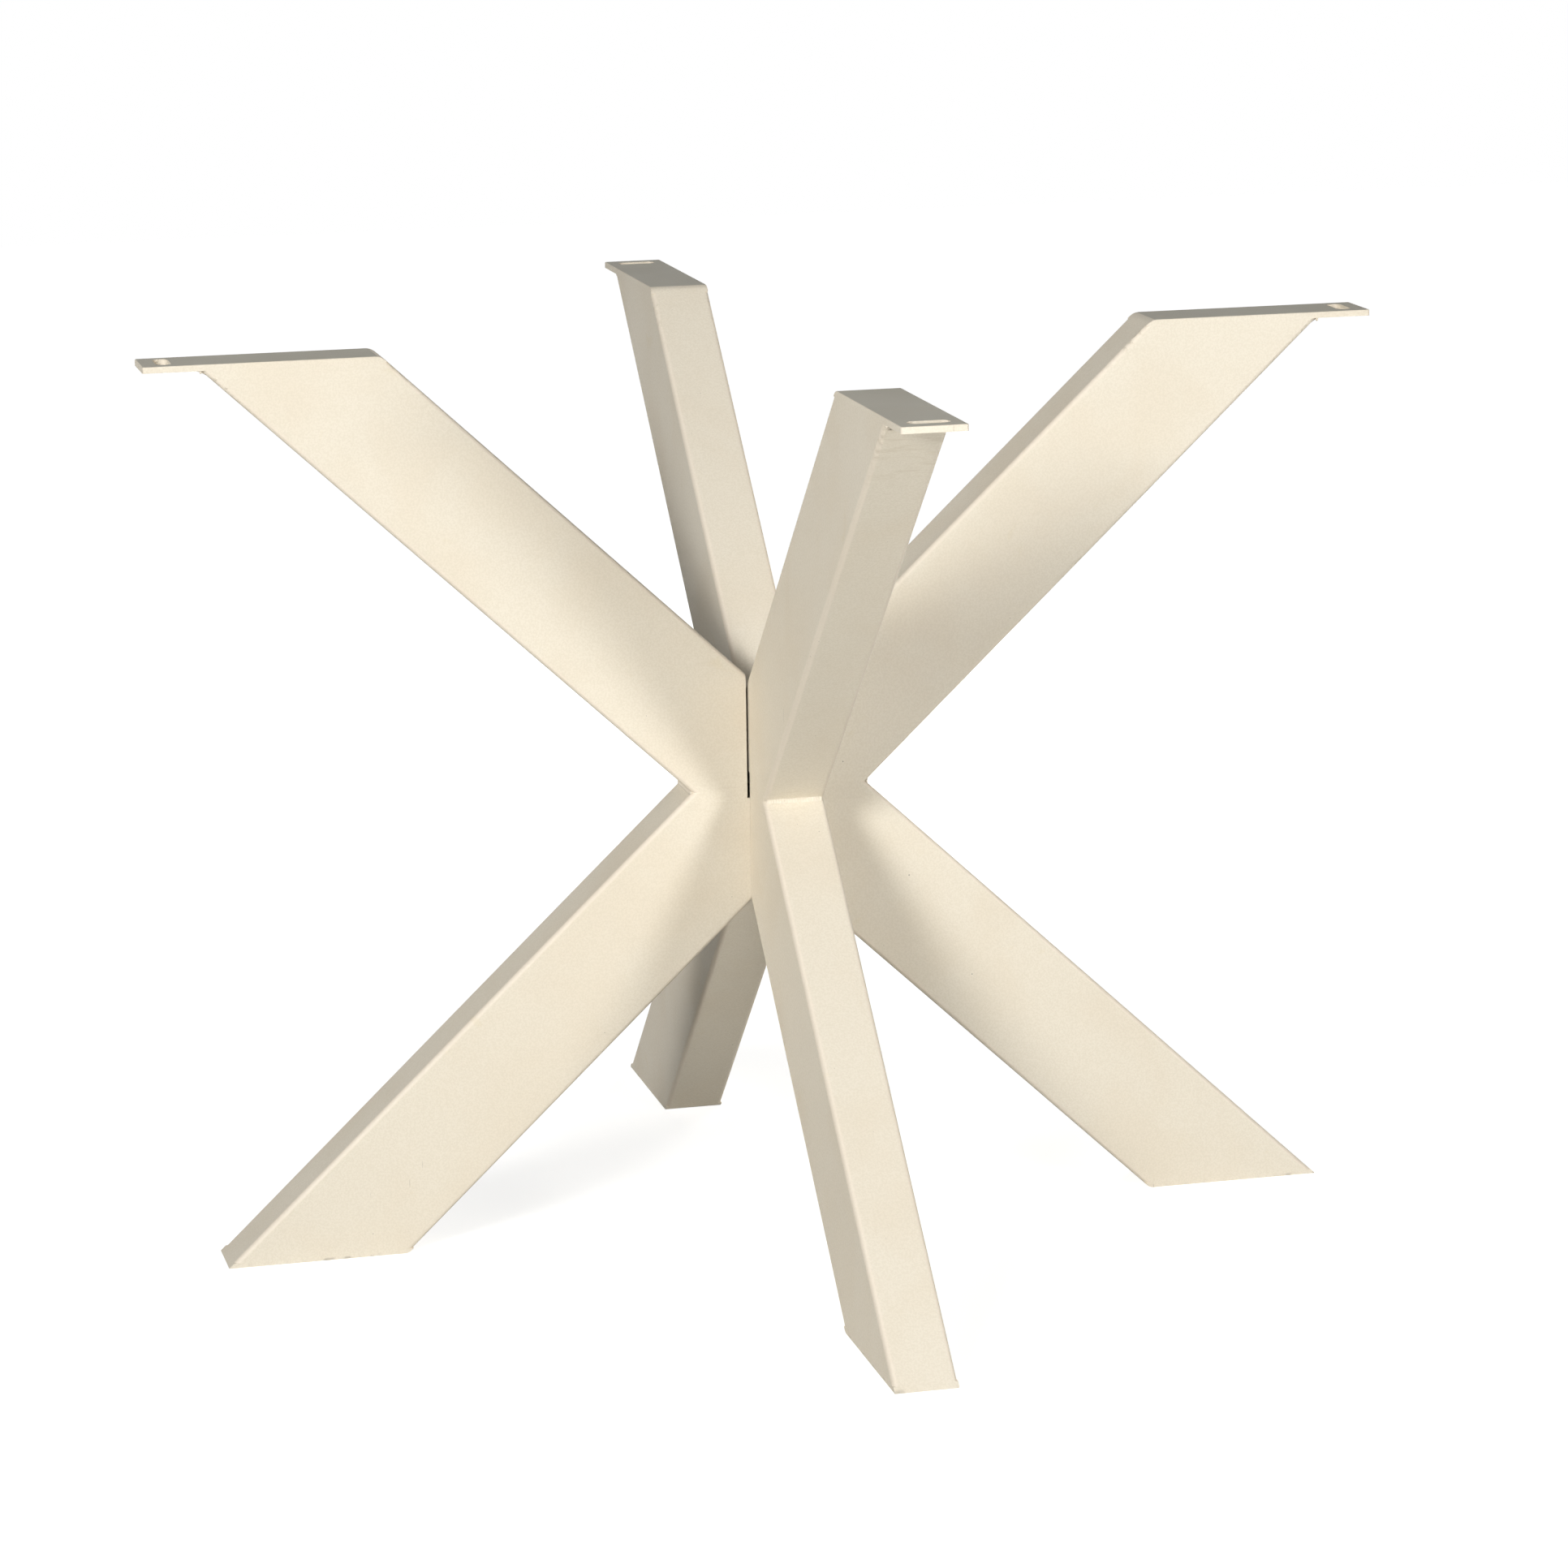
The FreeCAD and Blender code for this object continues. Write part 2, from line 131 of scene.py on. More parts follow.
def read_solids():
    """Takes the places where welds go from the boxes of the solids, reaching along +X."""
    arm_low, arm_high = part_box("right_upper_arm")
    plate_low, plate_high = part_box("right_top_plate")
    foot_low, foot_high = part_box("right_foot_plate")
    bead_low, bead_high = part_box("right_waist_weld")
    width = arm_high.y - arm_low.y
    return {
        "half_width": width / 2,
        "tab_underside": plate_low.z,
        "plate_top": plate_high.z,
        "plate_inner": plate_low.x,
        "foot_inner": foot_low.x,
        "foot_top": foot_high.z,
        "foot_reach": foot_high.x,
        "waist_height": (bead_low.z + bead_high.z) / 2,
        "waist_reach": bead_low.x,
    }


# Properties

class CoatSettings(PropertyGroup):
    """The powder coat's colours and texture."""

    body_colour: colour_property("Coat", "Cream of the powder coat", "#EDE4D2")
    thin_colour: colour_property("Thin coat", "Coat where it was sprayed thinner", "#EADFCB")
    grain_colour: colour_property("Grain", "Darker grains in the coat", "#DACFB8")
    # Corner colour: partly a thinner coat on the rounded corners, partly a painted highlight
    corner_highlight_colour: colour_property("Corners", "Lighter, warmer coat on the rounded corners", "#F6E9D7")
    # Plate-top colour: a painted shade for the weak light that falls on the plate tops from above
    plate_top_shade_colour: colour_property("Plate tops", "Thinner, greyer coat under the table top", "#C0BBAC")
    streak_colour: colour_property("Sanded coat", "Coat over the sanding marks", "#D9CDB6")
    dust_colour: colour_property("Specks", "Dust nibs and small nicks in the coat", "#6E6250")
    smudge_colour: colour_property("Smudges", "Faint yellow handling marks", "#DCCBA0")
    grain: FloatProperty(
        name="Grain strength", description="Share of the darker grains in the colour", default=0.3,
        min=0.0, max=1.0, subtype="FACTOR")
    peel_size: length_property("Orange peel", "Spacing of the texture's fine bumps", 1.9)
    peel_depth: length_property("Orange peel depth", "Height of the texture's fine bumps", 0.065)
    cloud_size: length_property("Clouds", "Spacing of the slow changes in thickness", 90.0)
    speck_spacing: length_property("Speck spacing", "Mean distance between dust specks", 18.0)
    hairline_spacing: length_property("Hairline spacing", "Width of the cells that hold hairlines", 6.0)
    streak_spacing: length_property("Sanding marks", "Spacing of the marks under the plates", 3.4)
    roughness: FloatProperty(
        name="Roughness", description="Satin finish of the coat", default=0.6,
        min=0.0, max=1.0, subtype="FACTOR")


class WeldSettings(PropertyGroup):
    """The weld beads' sizes."""

    tab_leg: length_property("Tab fillet", "Leg of the fillet under a tab", 7.0)
    stop_radius: length_property("Stops", "Radius of the lump where a tab fillet starts or stops", 1.1)
    waist_leg: length_property("Waist fillet", "Leg of the bead in a waist", 2.8)
    crotch_leg: length_property("Crotch fillet", "Leg of the bead between opposite arms", 3.4)
    ripple_pitch: length_property("Ripple pitch", "Spacing of the ripples along a bead", 2.2)
    ripple_height: length_property("Ripple height", "Height of the ripples", 0.14)
    root_depth: length_property("Root", "Depth of a bead's root inside the steel", 0.8)


class StageSettings(PropertyGroup):
    """The studio: floor, lamps and camera."""

    floor_colour: colour_property("Floor", "Matt pale studio floor", "#BEBDB9")
    floor_size: FloatProperty(
        name="Floor size", description="Side of the square floor", default=14.0,
        min=1.0, unit="LENGTH")
    floor_lift: FloatProperty(
        name="Floor lift", description="Glow that brings the floor up to white on camera",
        default=0.82, min=0.0, max=1.0, subtype="FACTOR")
    lamp_level: FloatProperty(
        name="Lamp level", description="Share of the softboxes' full power", default=1.0,
        min=0.0)
    fill: FloatProperty(
        name="Room fill", description="Light from the room at the horizon", default=0.015,
        min=0.0)
    ceiling: FloatProperty(
        name="Ceiling", description="Light from the room straight above", default=0.01,
        min=0.0)
    camera_place: FloatVectorProperty(
        name="Camera", description="Where the camera stands", size=3,
        default=(-0.9626, -3.9582, 1.2899), unit="LENGTH", subtype="TRANSLATION")
    camera_heading: FloatProperty(
        name="Heading", description="Turn of the view from +Y towards +X",
        default=math.radians(13.80), unit="ROTATION")
    camera_tilt: FloatProperty(
        name="Tilt", description="Rise of the view above the horizon",
        default=math.radians(-12.83), unit="ROTATION")
    camera_roll: FloatProperty(
        name="Roll", description="Turn of the camera about its own line of sight",
        default=math.radians(-0.78), unit="ROTATION")
    camera_lens: FloatProperty(
        name="Lens", description="Focal length in millimetres on a 36 mm frame",
        default=118.16, min=10.0)


# Materials

TEXTURE_PLACE = "ShaderNodeTexCoord"
NOISE = "ShaderNodeTexNoise"
CELLS = "ShaderNodeTexVoronoi"
MAPPING = "ShaderNodeMapping"
RANGE = "ShaderNodeMapRange"
MATH = "ShaderNodeMath"
AXES = "ShaderNodeSeparateXYZ"
CHANNELS = "ShaderNodeSeparateColor"
VECTOR_MATH = "ShaderNodeVectorMath"
MIX = "ShaderNodeMix"

# Makes a range climb in an S
SMOOTH = {"interpolation_type": "SMOOTHSTEP"}


def add_node(tree, kind, inputs=None, **settings):
    """Adds a node with its settings, and gives each input a value, a socket or a node.

    A node stands for its first output in use, and a name for its first input in use.
    """
    node = tree.nodes.new(kind)
    for name, value in settings.items():
        setattr(node, name, value)
    for name, value in (inputs or {}).items():
        if isinstance(name, int):
            socket = node.inputs[name]
        else:
            socket = next(s for s in node.inputs if s.name == name and s.enabled)
        if isinstance(value, bpy.types.Node):
            value = next(s for s in value.outputs if s.enabled)
        if isinstance(value, bpy.types.NodeSocket):
            tree.links.new(value, socket)
        else:
            socket.default_value = value
    return node


def new_material(name):
    """An empty node material."""
    material = bpy.data.materials.new(name)
    material.use_nodes = True
    material.node_tree.nodes.clear()
    return material


def corner_share(tree, facing):
    """Rounded corners: only there does the surface face both ways across the two frames."""
    # The share carries the corners' painted highlight, which is partly a thinner coat, and their weld
    # spatter
    both = add_node(tree, MATH, {0: facing.outputs["X"], 1: facing.outputs["Y"]}, operation="MULTIPLY")
    return add_node(tree, RANGE, {"Value": both, "From Min": 0.02, "From Max": 0.2, "To Max": 0.4},
                    **SMOOTH)


def plate_top_shade_share(tree, facing, height, solids):
    """Level faces at the height of the plate tops."""
    # These faces take the plate tops' painted shade, for the weak light from above
    level = add_node(tree, RANGE, {"Value": facing.outputs["Z"], "From Min": 0.9, "From Max": 0.99},
                     **SMOOTH)
    high = add_node(tree, MATH, {0: height, 1: solids["plate_top"] - 0.2 * MM}, operation="GREATER_THAN")
    return add_node(tree, MATH, {0: level, 1: high}, operation="MULTIPLY")


def dust_nibs(tree, place, coat):
    """Balls in some of the cells, as wide as the cell's own random number says, up to 1.2 mm."""
    cells = add_node(tree, CELLS, {"Vector": place, "Scale": 1 / coat.speck_spacing, "Randomness": 1.0})
    chance = add_node(tree, CHANNELS, {"Color": cells.outputs["Color"]})
    reach = add_node(tree, RANGE, {
        "Value": chance.outputs["Red"], "From Min": 0.45, "From Max": 1.0, "To Max": 0.034})
    return add_node(tree, MATH, {0: cells.outputs["Distance"], 1: reach}, operation="LESS_THAN")


def hairlines(tree, place, coat):
    """Cells drawn out into needles up to 17 mm long.

    They are drawn up to 0.7 mm wide, because real ones are too fine to show from here.
    """
    across, along = 1 / coat.hairline_spacing, 0.04 / coat.hairline_spacing
    needles = add_node(tree, MAPPING, {
        "Vector": place, "Rotation": (math.radians(9), math.radians(-7), 0.0),
        "Scale": (across, across, along)})
    needles = add_node(tree, CELLS, {"Vector": needles, "Scale": 1.0, "Randomness": 1.0})
    chance = add_node(tree, CHANNELS, {"Color": needles.outputs["Color"]})
    reach = add_node(tree, RANGE, {
        "Value": chance.outputs["Green"], "From Min": 0.62, "From Max": 1.0, "To Max": 0.055})
    return add_node(tree, MATH, {0: needles.outputs["Distance"], 1: reach}, operation="LESS_THAN")


def sanding_marks(tree, place, height, normal, coat, solids):
    """Noise drawn out along the level, below the plates and by the waist.

    The marks are plain on the outer faces, where the weld was dressed, and faint elsewhere.
    """
    length = 34 * MM
    marks = add_node(tree, MAPPING, {
        "Vector": place, "Scale": (1 / length, 1 / length, 1 / coat.streak_spacing)})
    marks = add_node(tree, NOISE, {"Vector": marks, "Scale": 1.0, "Detail": 4.0, "Distortion": 1.1})
    marks = add_node(tree, RANGE, {"Value": marks, "From Min": 0.48, "From Max": 0.74}, **SMOOTH)
    top = solids["plate_top"]
    faint_end, plain_end = top - 110 * MM, top - 8 * MM
    by_plate = add_node(tree, RANGE, {
        "Value": height, "From Min": faint_end, "From Max": plain_end}, **SMOOTH)
    by_waist = add_node(tree, MATH, {0: height, 1: solids["waist_height"]}, operation="SUBTRACT")
    by_waist = add_node(tree, MATH, {0: by_waist}, operation="ABSOLUTE")
    by_waist = add_node(tree, RANGE, {
        "Value": by_waist, "From Min": 20 * MM, "From Max": 3 * MM, "To Max": 0.5}, **SMOOTH)
    outer = add_node(tree, AXES, {"Vector": normal}).outputs["Z"]
    outer = add_node(tree, RANGE, {"Value": outer, "From Min": -0.3, "From Max": -0.6, "To Min": 0.12})
    by_plate = add_node(tree, MATH, {0: by_plate, 1: outer}, operation="MULTIPLY")
    sanded = add_node(tree, MATH, {0: by_plate, 1: by_waist}, operation="MAXIMUM")
    return add_node(tree, MATH, {0: marks, 1: sanded}, operation="MULTIPLY")


def foot_scuffs(tree, place, height):
    """Patches of dirt where the feet meet the floor."""
    scuffs = add_node(tree, NOISE, {"Vector": place, "Scale": 1 / (16 * MM), "Detail": 4.0})
    scuffs = add_node(tree, RANGE, {"Value": scuffs, "From Min": 0.55, "From Max": 0.7}, **SMOOTH)
    low = add_node(tree, RANGE, {
        "Value": height, "From Min": 3 * MM, "From Max": 0.5 * MM, "To Max": 0.4}, **SMOOTH)
    return add_node(tree, MATH, {0: scuffs, 1: low}, operation="MULTIPLY")


def corner_spatter(tree, place, height, corner, solids):
    """Weld spatter left on the corners just below the plates."""
    top = solids["plate_top"]
    spatter = add_node(tree, NOISE, {"Vector": place, "Scale": 1 / (5 * MM), "Detail": 2.0})
    spatter = add_node(tree, RANGE, {"Value": spatter, "From Min": 0.5, "From Max": 0.62}, **SMOOTH)
    faint_end, plain_end = top - 55 * MM, top - 14 * MM
    below = add_node(tree, RANGE, {
        "Value": height, "From Min": faint_end, "From Max": plain_end}, **SMOOTH)
    spatter = add_node(tree, MATH, {0: spatter, 1: below}, operation="MULTIPLY")
    return add_node(tree, MATH, {0: spatter, 1: corner}, operation="MULTIPLY")


def powder_coat(name, coat, solids, lump_size=None):
    """Satin polyester powder coat, sprayed dry on steel and baked.

    The powder melts into a hard plastic skin about 0.08 mm thick. It flows only a
    little, so it keeps a fine orange peel with a grain in its colour, and it is a
    touch thinner where less powder reached. The rounded corners are coloured lighter
    and warmer, partly for a thinner coat and partly as a painted highlight, and the
    plate tops darker and greyer as a painted shade. Dust baked in shows as small
    nibs, knocks in transport as short hairlines, and sanding of the steel before
    coating as faint level marks below the plates and by the waist.
    """
    material = new_material(name)
    tree = material.node_tree
    axes = add_node(tree, TEXTURE_PLACE)
    place, normal = axes.outputs["Object"], axes.outputs["Normal"]
    height = add_node(tree, AXES, {"Vector": place}).outputs["Z"]
    facing = add_node(tree, VECTOR_MATH, {0: normal}, operation="ABSOLUTE")
    facing = add_node(tree, AXES, {"Vector": facing})

    # Thickness of the coat: slow clouds, and a grain about as wide as the peel. Both are
    # drawn at the coarse end of a real coat's 1 to 2.5 mm, so that they show from here.
    clouds = add_node(tree, NOISE, {
        "Vector": place, "Scale": 1 / coat.cloud_size, "Detail": 3.0, "Distortion": 0.4})
    thin = add_node(tree, RANGE, {"Value": clouds, "From Min": 0.4, "From Max": 0.68, "To Max": 0.8},
                    **SMOOTH)
    grit = add_node(tree, NOISE, {"Vector": place, "Scale": 1.2 / coat.peel_size, "Detail": 2.0})
    grain = add_node(tree, RANGE, {
        "Value": grit, "From Min": 0.36, "From Max": 0.64, "To Max": coat.grain}, **SMOOTH)

    # Handling marks, faint and far between
    smudge = add_node(tree, NOISE, {
        "Vector": place, "Scale": 2.2 / coat.cloud_size, "Detail": 2.0, "Distortion": 1.2})
    smudge = add_node(tree, RANGE, {
        "Value": smudge, "From Min": 0.68, "From Max": 0.78, "To Max": 0.14}, **SMOOTH)

    corner = corner_share(tree, facing)
    nibs = dust_nibs(tree, place, coat)
    scratches = hairlines(tree, place, coat)
    streaks = sanding_marks(tree, place, height, normal, coat, solids)
    spatter = corner_spatter(tree, place, height, corner, solids)

    # Colours laid over the body colour in turn. The plate tops get a darker, greyer colour
    # as a painted shade for the weak light from above, and the rounded corners a lighter one.
    layers = (
        (thin, coat.thin_colour),
        (grain, coat.grain_colour),
        # painted highlight on the rounded corners, partly a thinner coat
        (corner, coat.corner_highlight_colour),
        # painted shade on the plate tops
        (plate_top_shade_share(tree, facing, height, solids), coat.plate_top_shade_colour),
        (smudge, coat.smudge_colour),
        (add_node(tree, MATH, {0: nibs, 1: 0.7}, operation="MULTIPLY"), coat.dust_colour),
        (add_node(tree, MATH, {0: scratches, 1: 0.42}, operation="MULTIPLY"), coat.dust_colour),
        (add_node(tree, MATH, {0: streaks, 1: 0.6}, operation="MULTIPLY"), coat.streak_colour),
        (foot_scuffs(tree, place, height), coat.dust_colour),
        (spatter, coat.streak_colour),
    )
    colour = coat.body_colour
    for share, tint in layers:
        colour = add_node(tree, MIX, {"Factor": share, "A": colour, "B": tint}, data_type="RGBA")

    # Relief: the peel, and what stands out of it or is sunk in it, in depths of the peel
    relief = add_node(tree, NOISE, {"Vector": place, "Scale": 1 / coat.peel_size, "Detail": 2.0})
    marks = [(streaks, 0.3), (nibs, 1.2), (scratches, -1.2), (spatter, 14.0)]
    if lump_size is not None:
        lumps = add_node(tree, NOISE, {
            "Vector": place, "Scale": 1 / lump_size, "Detail": 2.0, "Distortion": 0.6})
        marks.append((lumps, 2.2))
    for mark, depth in marks:
        relief = add_node(tree, MATH, {0: mark, 1: depth, 2: relief}, operation="MULTIPLY_ADD")
    bump = add_node(tree, "ShaderNodeBump", {
        "Strength": 1.0, "Distance": coat.peel_depth, "Height": relief})

    # Gloss: satin, duller where the coat is thin or sanded through
    gloss = add_node(tree, RANGE, {
        "Value": clouds, "From Min": 0.3, "From Max": 0.7,
        "To Min": coat.roughness - 0.04, "To Max": coat.roughness + 0.05})
    gloss = add_node(tree, MATH, {0: streaks, 1: 0.06, 2: gloss}, operation="MULTIPLY_ADD")
    shader = add_node(tree, "ShaderNodeBsdfPrincipled", {
        "Base Color": colour, "Roughness": gloss, "IOR": 1.45, "Normal": bump})
    add_node(tree, "ShaderNodeOutputMaterial", {"Surface": shader})
    return material


def seen_rays(tree):
    """1 for the rays by which the stage is seen: from the camera, mirrored or through glass."""
    rays = add_node(tree, "ShaderNodeLightPath")
    seen = add_node(tree, MATH, {
        0: rays.outputs["Is Camera Ray"], 1: rays.outputs["Is Glossy Ray"]}, operation="MAXIMUM")
    return add_node(tree, MATH, {0: seen, 1: rays.outputs["Is Transmission Ray"]}, operation="MAXIMUM")


def studio_floor(stage):
    """Matt painted studio floor: it keeps shadows, and glows up to white on camera."""
    material = new_material("matt_pale_studio_floor")
    tree = material.node_tree
    paint = add_node(tree, "ShaderNodeBsdfDiffuse", {"Color": stage.floor_colour, "Roughness": 0.0})
    place = add_node(tree, TEXTURE_PLACE).outputs["Object"]
    away = add_node(tree, VECTOR_MATH, {0: place}, operation="LENGTH")
    lift = add_node(tree, RANGE, {
        "Value": away, "From Min": GLOW_INNER, "From Max": GLOW_OUTER, "To Min": stage.floor_lift},
        **SMOOTH)
    lift = add_node(tree, MATH, {0: lift, 1: seen_rays(tree)}, operation="MULTIPLY")
    glow = add_node(tree, "ShaderNodeEmission", {"Color": (1.0, 1.0, 1.0, 1.0), "Strength": lift})
    both = add_node(tree, "ShaderNodeAddShader", {0: paint, 1: glow})
    add_node(tree, "ShaderNodeOutputMaterial", {"Surface": both})
    return material


# Surfaces

def new_piece(name, points, faces, material, smooth=True):
    """Makes a mesh object at the origin from an (n, 3) array and a list of faces."""
    mesh = bpy.data.meshes.new(name)
    mesh.from_pydata(points.tolist(), [], faces)
    mesh.polygons.foreach_set("use_smooth", np.full(len(mesh.polygons), smooth))
    mesh.materials.append(material)
    mesh.validate()
    mesh.update()
    piece = bpy.data.objects.new(name, mesh)
    bpy.context.scene.collection.objects.link(piece)
    return piece


def turned(points, quarters):
    """Turns points about Z by quarter turns: (x, y) goes to (-y, x) for each."""
    x, y, z = points.T
    for _ in range(quarters):
        x, y = -y, x
    return np.stack([x, y, z], axis=1)


def closed_grid(rows, columns):
    """Faces of a tube of rows by columns points, capped by one pole at each end."""
    r, c = np.meshgrid(np.arange(rows - 1), np.arange(columns), indexing="ij")
    nxt = (c + 1) % columns
    quads = np.stack([r * columns + c, r * columns + nxt,
                      (r + 1) * columns + nxt, (r + 1) * columns + c], axis=-1)
    faces = [tuple(q) for q in quads.reshape(-1, 4).tolist()]
    first, last = rows * columns, rows * columns + 1
    ring = range(columns)
    faces += [(first, (i + 1) % columns, i) for i in ring]
    start = (rows - 1) * columns
    faces += [(last, start + i, start + (i + 1) % columns) for i in ring]
    return faces


def bead_surface(corner, first, second, leg, run, hollow, welds, rows=120, across=14):
    """A weld bead laid along Y in the corner between two faces.

    u in [0, 1] runs along the bead and t in [0, 1] runs over its face, from the
    toe on the first face to the toe on the second. The face of the section is
    corner + leg * ((1 - t)^hollow * first + t^hollow * second): straight for a
    hollow of 1 and concave above it. Ripples add height * cos(2 pi (y + bow) /
    pitch), where the bow makes each ripple an arc, and the section shrinks
    towards both ends as an ellipse. The rest of the section is the root, sunk
    into the steel behind the corner.
    """
    u = np.linspace(0.0, 1.0, rows)[:, None]
    t = np.linspace(0.0, 1.0, across)[None, :]
    first, second = (np.array(v, float) / np.linalg.norm(v) for v in (first, second))
    outwards = (first + second) / np.linalg.norm(first + second)
    y = (u * 2 - 1) * run / 2
    ends = np.clip(1 - np.abs(u * 2 - 1), 0, 1) * run / leg
    size = np.sqrt(np.clip(1 - np.clip(1 - ends, 0, 1) ** 2, 0.02, 1))
    bow = welds.ripple_pitch * RIPPLE_BOW * (t - 0.5) ** 2
    ripple = welds.ripple_height * np.cos(2 * math.pi * (y + bow) / welds.ripple_pitch)
    ripple = ripple * np.sin(math.pi * t) * size
    wander = 1 + sum(share * np.sin(2 * math.pi * y / swing) for share, swing in WANDERS)
    reach = leg * size * wander
    near, far = (1 - t) ** hollow, t ** hollow
    x = corner[0] + reach * (near * first[0] + far * second[0]) + ripple * outwards[0]
    z = corner[1] + reach * (near * first[1] + far * second[1]) + ripple * outwards[1]
    face = np.stack([x, np.broadcast_to(y, x.shape), z], axis=-1)

    back = np.linspace(1.0, 0.0, 5)[None, 1:-1]
    root = welds.root_depth
    x = corner[0] + reach * ((1 - back) * first[0] + back * second[0]) * ROOT_WIDTH - root * outwards[0]
    z = corner[1] + reach * ((1 - back) * first[1] + back * second[1]) * ROOT_WIDTH - root * outwards[1]
    inside = np.stack([x, np.broadcast_to(y, x.shape), z], axis=-1)
    shell = np.concatenate([face, inside], axis=1)
    columns = shell.shape[1]
    poles = np.stack([shell[0].mean(axis=0), shell[-1].mean(axis=0)])
    points = np.concatenate([shell.reshape(-1, 3), poles])
    faces = closed_grid(rows, columns)
    side = np.cross([0.0, 1.0, 0.0], [first[0], 0.0, first[1]])
    if side @ np.array([outwards[0], 0.0, outwards[1]]) < 0:
        faces = [tuple(reversed(f)) for f in faces]
    return points, faces


def drop_surface(middle, radii, rows=14, across=20):
    """A drop of weld metal: a slightly dented ball.

    With u in (0, pi) from pole to pole and v in [0, 2 pi) round it, a point is middle +
    radii * (sin u cos v, sin u sin v, cos u) * (1 + 0.06 sin 3v sin 2u).
    """
    u = np.linspace(0.0, math.pi, rows + 2)[1:-1, None]
    v = np.linspace(0.0, 2 * math.pi, across, endpoint=False)[None, :]
    dent = 1 + 0.06 * np.sin(3 * v) * np.sin(2 * u)
    ball = np.stack([np.sin(u) * np.cos(v) * dent, np.sin(u) * np.sin(v) * dent,
                     np.cos(u) * dent], axis=-1).reshape(-1, 3)
    points = np.concatenate([ball, [[0.0, 0.0, 1.0], [0.0, 0.0, -1.0]]])
    faces = [tuple(reversed(face)) for face in closed_grid(rows, across)]
    return np.array(middle) + points * np.array(radii), faces


def joined(*surfaces):
    """One surface from several: their points end to end, and their faces counted on."""
    starts = np.cumsum([0] + [len(points) for points, _ in surfaces])
    faces = [tuple(i + start for i in face)
             for (_, shell), start in zip(surfaces, starts.tolist()) for face in shell]
    return np.concatenate([points for points, _ in surfaces]), faces


def lay_bead(name, nodes, quarters, surface, material):
    """Makes a bead from its surface, turned to its leg, in place of the plain one."""
    points, faces = surface
    piece = new_piece(name, turned(points, quarters), faces, material)
    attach(piece, BODY)
    if nodes:
        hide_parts(*nodes)
    return piece


# Operators

class TABLEBASE_OT_coat_steel(Operator):
    """Coat the tubes, mounting plates and foot plates"""

    bl_idname = "table_base.coat_steel"
    bl_label = "Coat Steel"

    def execute(self, context):
        coat = context.scene.table_base_coat
        material = powder_coat("satin_powder_coat_on_steel", coat, read_solids())
        for name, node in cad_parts.items():
            if name.endswith(("_arm", "_plate")):
                node.data.materials.clear()
                node.data.materials.append(material)
        return {"FINISHED"}


class TABLEBASE_OT_lay_tab_welds(Operator):
    """Lay the fillet weld under the tab of each mounting plate"""

    bl_idname = "table_base.lay_tab_welds"
    bl_label = "Lay Tab Welds"

    def execute(self, context):
        coat, welds = context.scene.table_base_coat, context.scene.table_base_welds
        solids = read_solids()
        material = powder_coat("powder_coat_on_tab_weld", coat, solids, LUMP_SIZE)
        for leg, quarters in LEGS.items():
            surface = tab_bead(solids, welds)
            lay_bead(f"{leg}_tab_fillet", [f"{leg}_tab_weld"], quarters, surface, material)
        return {"FINISHED"}


class TABLEBASE_OT_lay_waist_welds(Operator):
    """Lay the bead in the waist of each leg"""

    bl_idname = "table_base.lay_waist_welds"
    bl_label = "Lay Waist Welds"

    def execute(self, context):
        coat, welds = context.scene.table_base_coat, context.scene.table_base_welds
        solids = read_solids()
        material = powder_coat("powder_coat_on_waist_weld", coat, solids, LUMP_SIZE)
        for leg, quarters in LEGS.items():
            surface = waist_bead(solids, welds)
            lay_bead(f"{leg}_waist_bead", [f"{leg}_waist_weld"], quarters, surface, material)
        return {"FINISHED"}


class TABLEBASE_OT_lay_crotch_welds(Operator):
    """Lay the bead between the upper arms of one frame and the lower arms of the other"""

    bl_idname = "table_base.lay_crotch_welds"
    bl_label = "Lay Crotch Welds"

    def execute(self, context):
        coat, welds = context.scene.table_base_coat, context.scene.table_base_welds
        solids = read_solids()
        material = powder_coat("powder_coat_on_crotch_weld", coat, solids, LUMP_SIZE)
        top, bottom = crotch_beads(solids, welds)
        lay_bead("cross_frame_crotch_bead", [], LEGS["back"], top, material)
        lay_bead("side_frame_crotch_bead", [], LEGS["right"], bottom, material)
        return {"FINISHED"}


def arm_direction(solids):
    """The way a lower arm's outer face runs, outwards and down, in its upright plane."""
    run = solids["foot_reach"] - solids["waist_reach"]
    rise = solids["waist_height"]
    length = math.hypot(run, rise)
    return (run / length, -rise / length)


def tab_bead(solids, welds):
    """The fillet in the corner between a tab's underside and its arm's outer face."""
    run, fall = arm_direction(solids)
    step = (solids["tab_underside"] - solids["waist_height"]) / -fall
    corner = (solids["waist_reach"] + step * run, solids["tab_underside"])
    short, hollow = BEADS["tab"]
    width = 2 * solids["half_width"] - short
    fillet = bead_surface(corner, (1.0, 0.0), (-run, fall), welds.tab_leg, width, hollow, welds)
    out, inwards, down = STOP_PLACE
    stops = []
    for side, size in STOPS:
        middle = (corner[0] + out, side * (solids["half_width"] - inwards), corner[1] - down)
        radius = welds.stop_radius * size
        stops.append(drop_surface(middle, (radius, radius * 0.9, radius * 1.3)))
    return joined(fillet, *stops)


def waist_bead(solids, welds):
    """The bead in the valley between the outer faces of a leg's two arms."""
    run, fall = arm_direction(solids)
    corner = (solids["waist_reach"], solids["waist_height"])
    short, hollow = BEADS["waist"]
    width = 2 * solids["half_width"] - short
    return bead_surface(corner, (run, fall), (run, -fall), welds.waist_leg, width, hollow, welds)


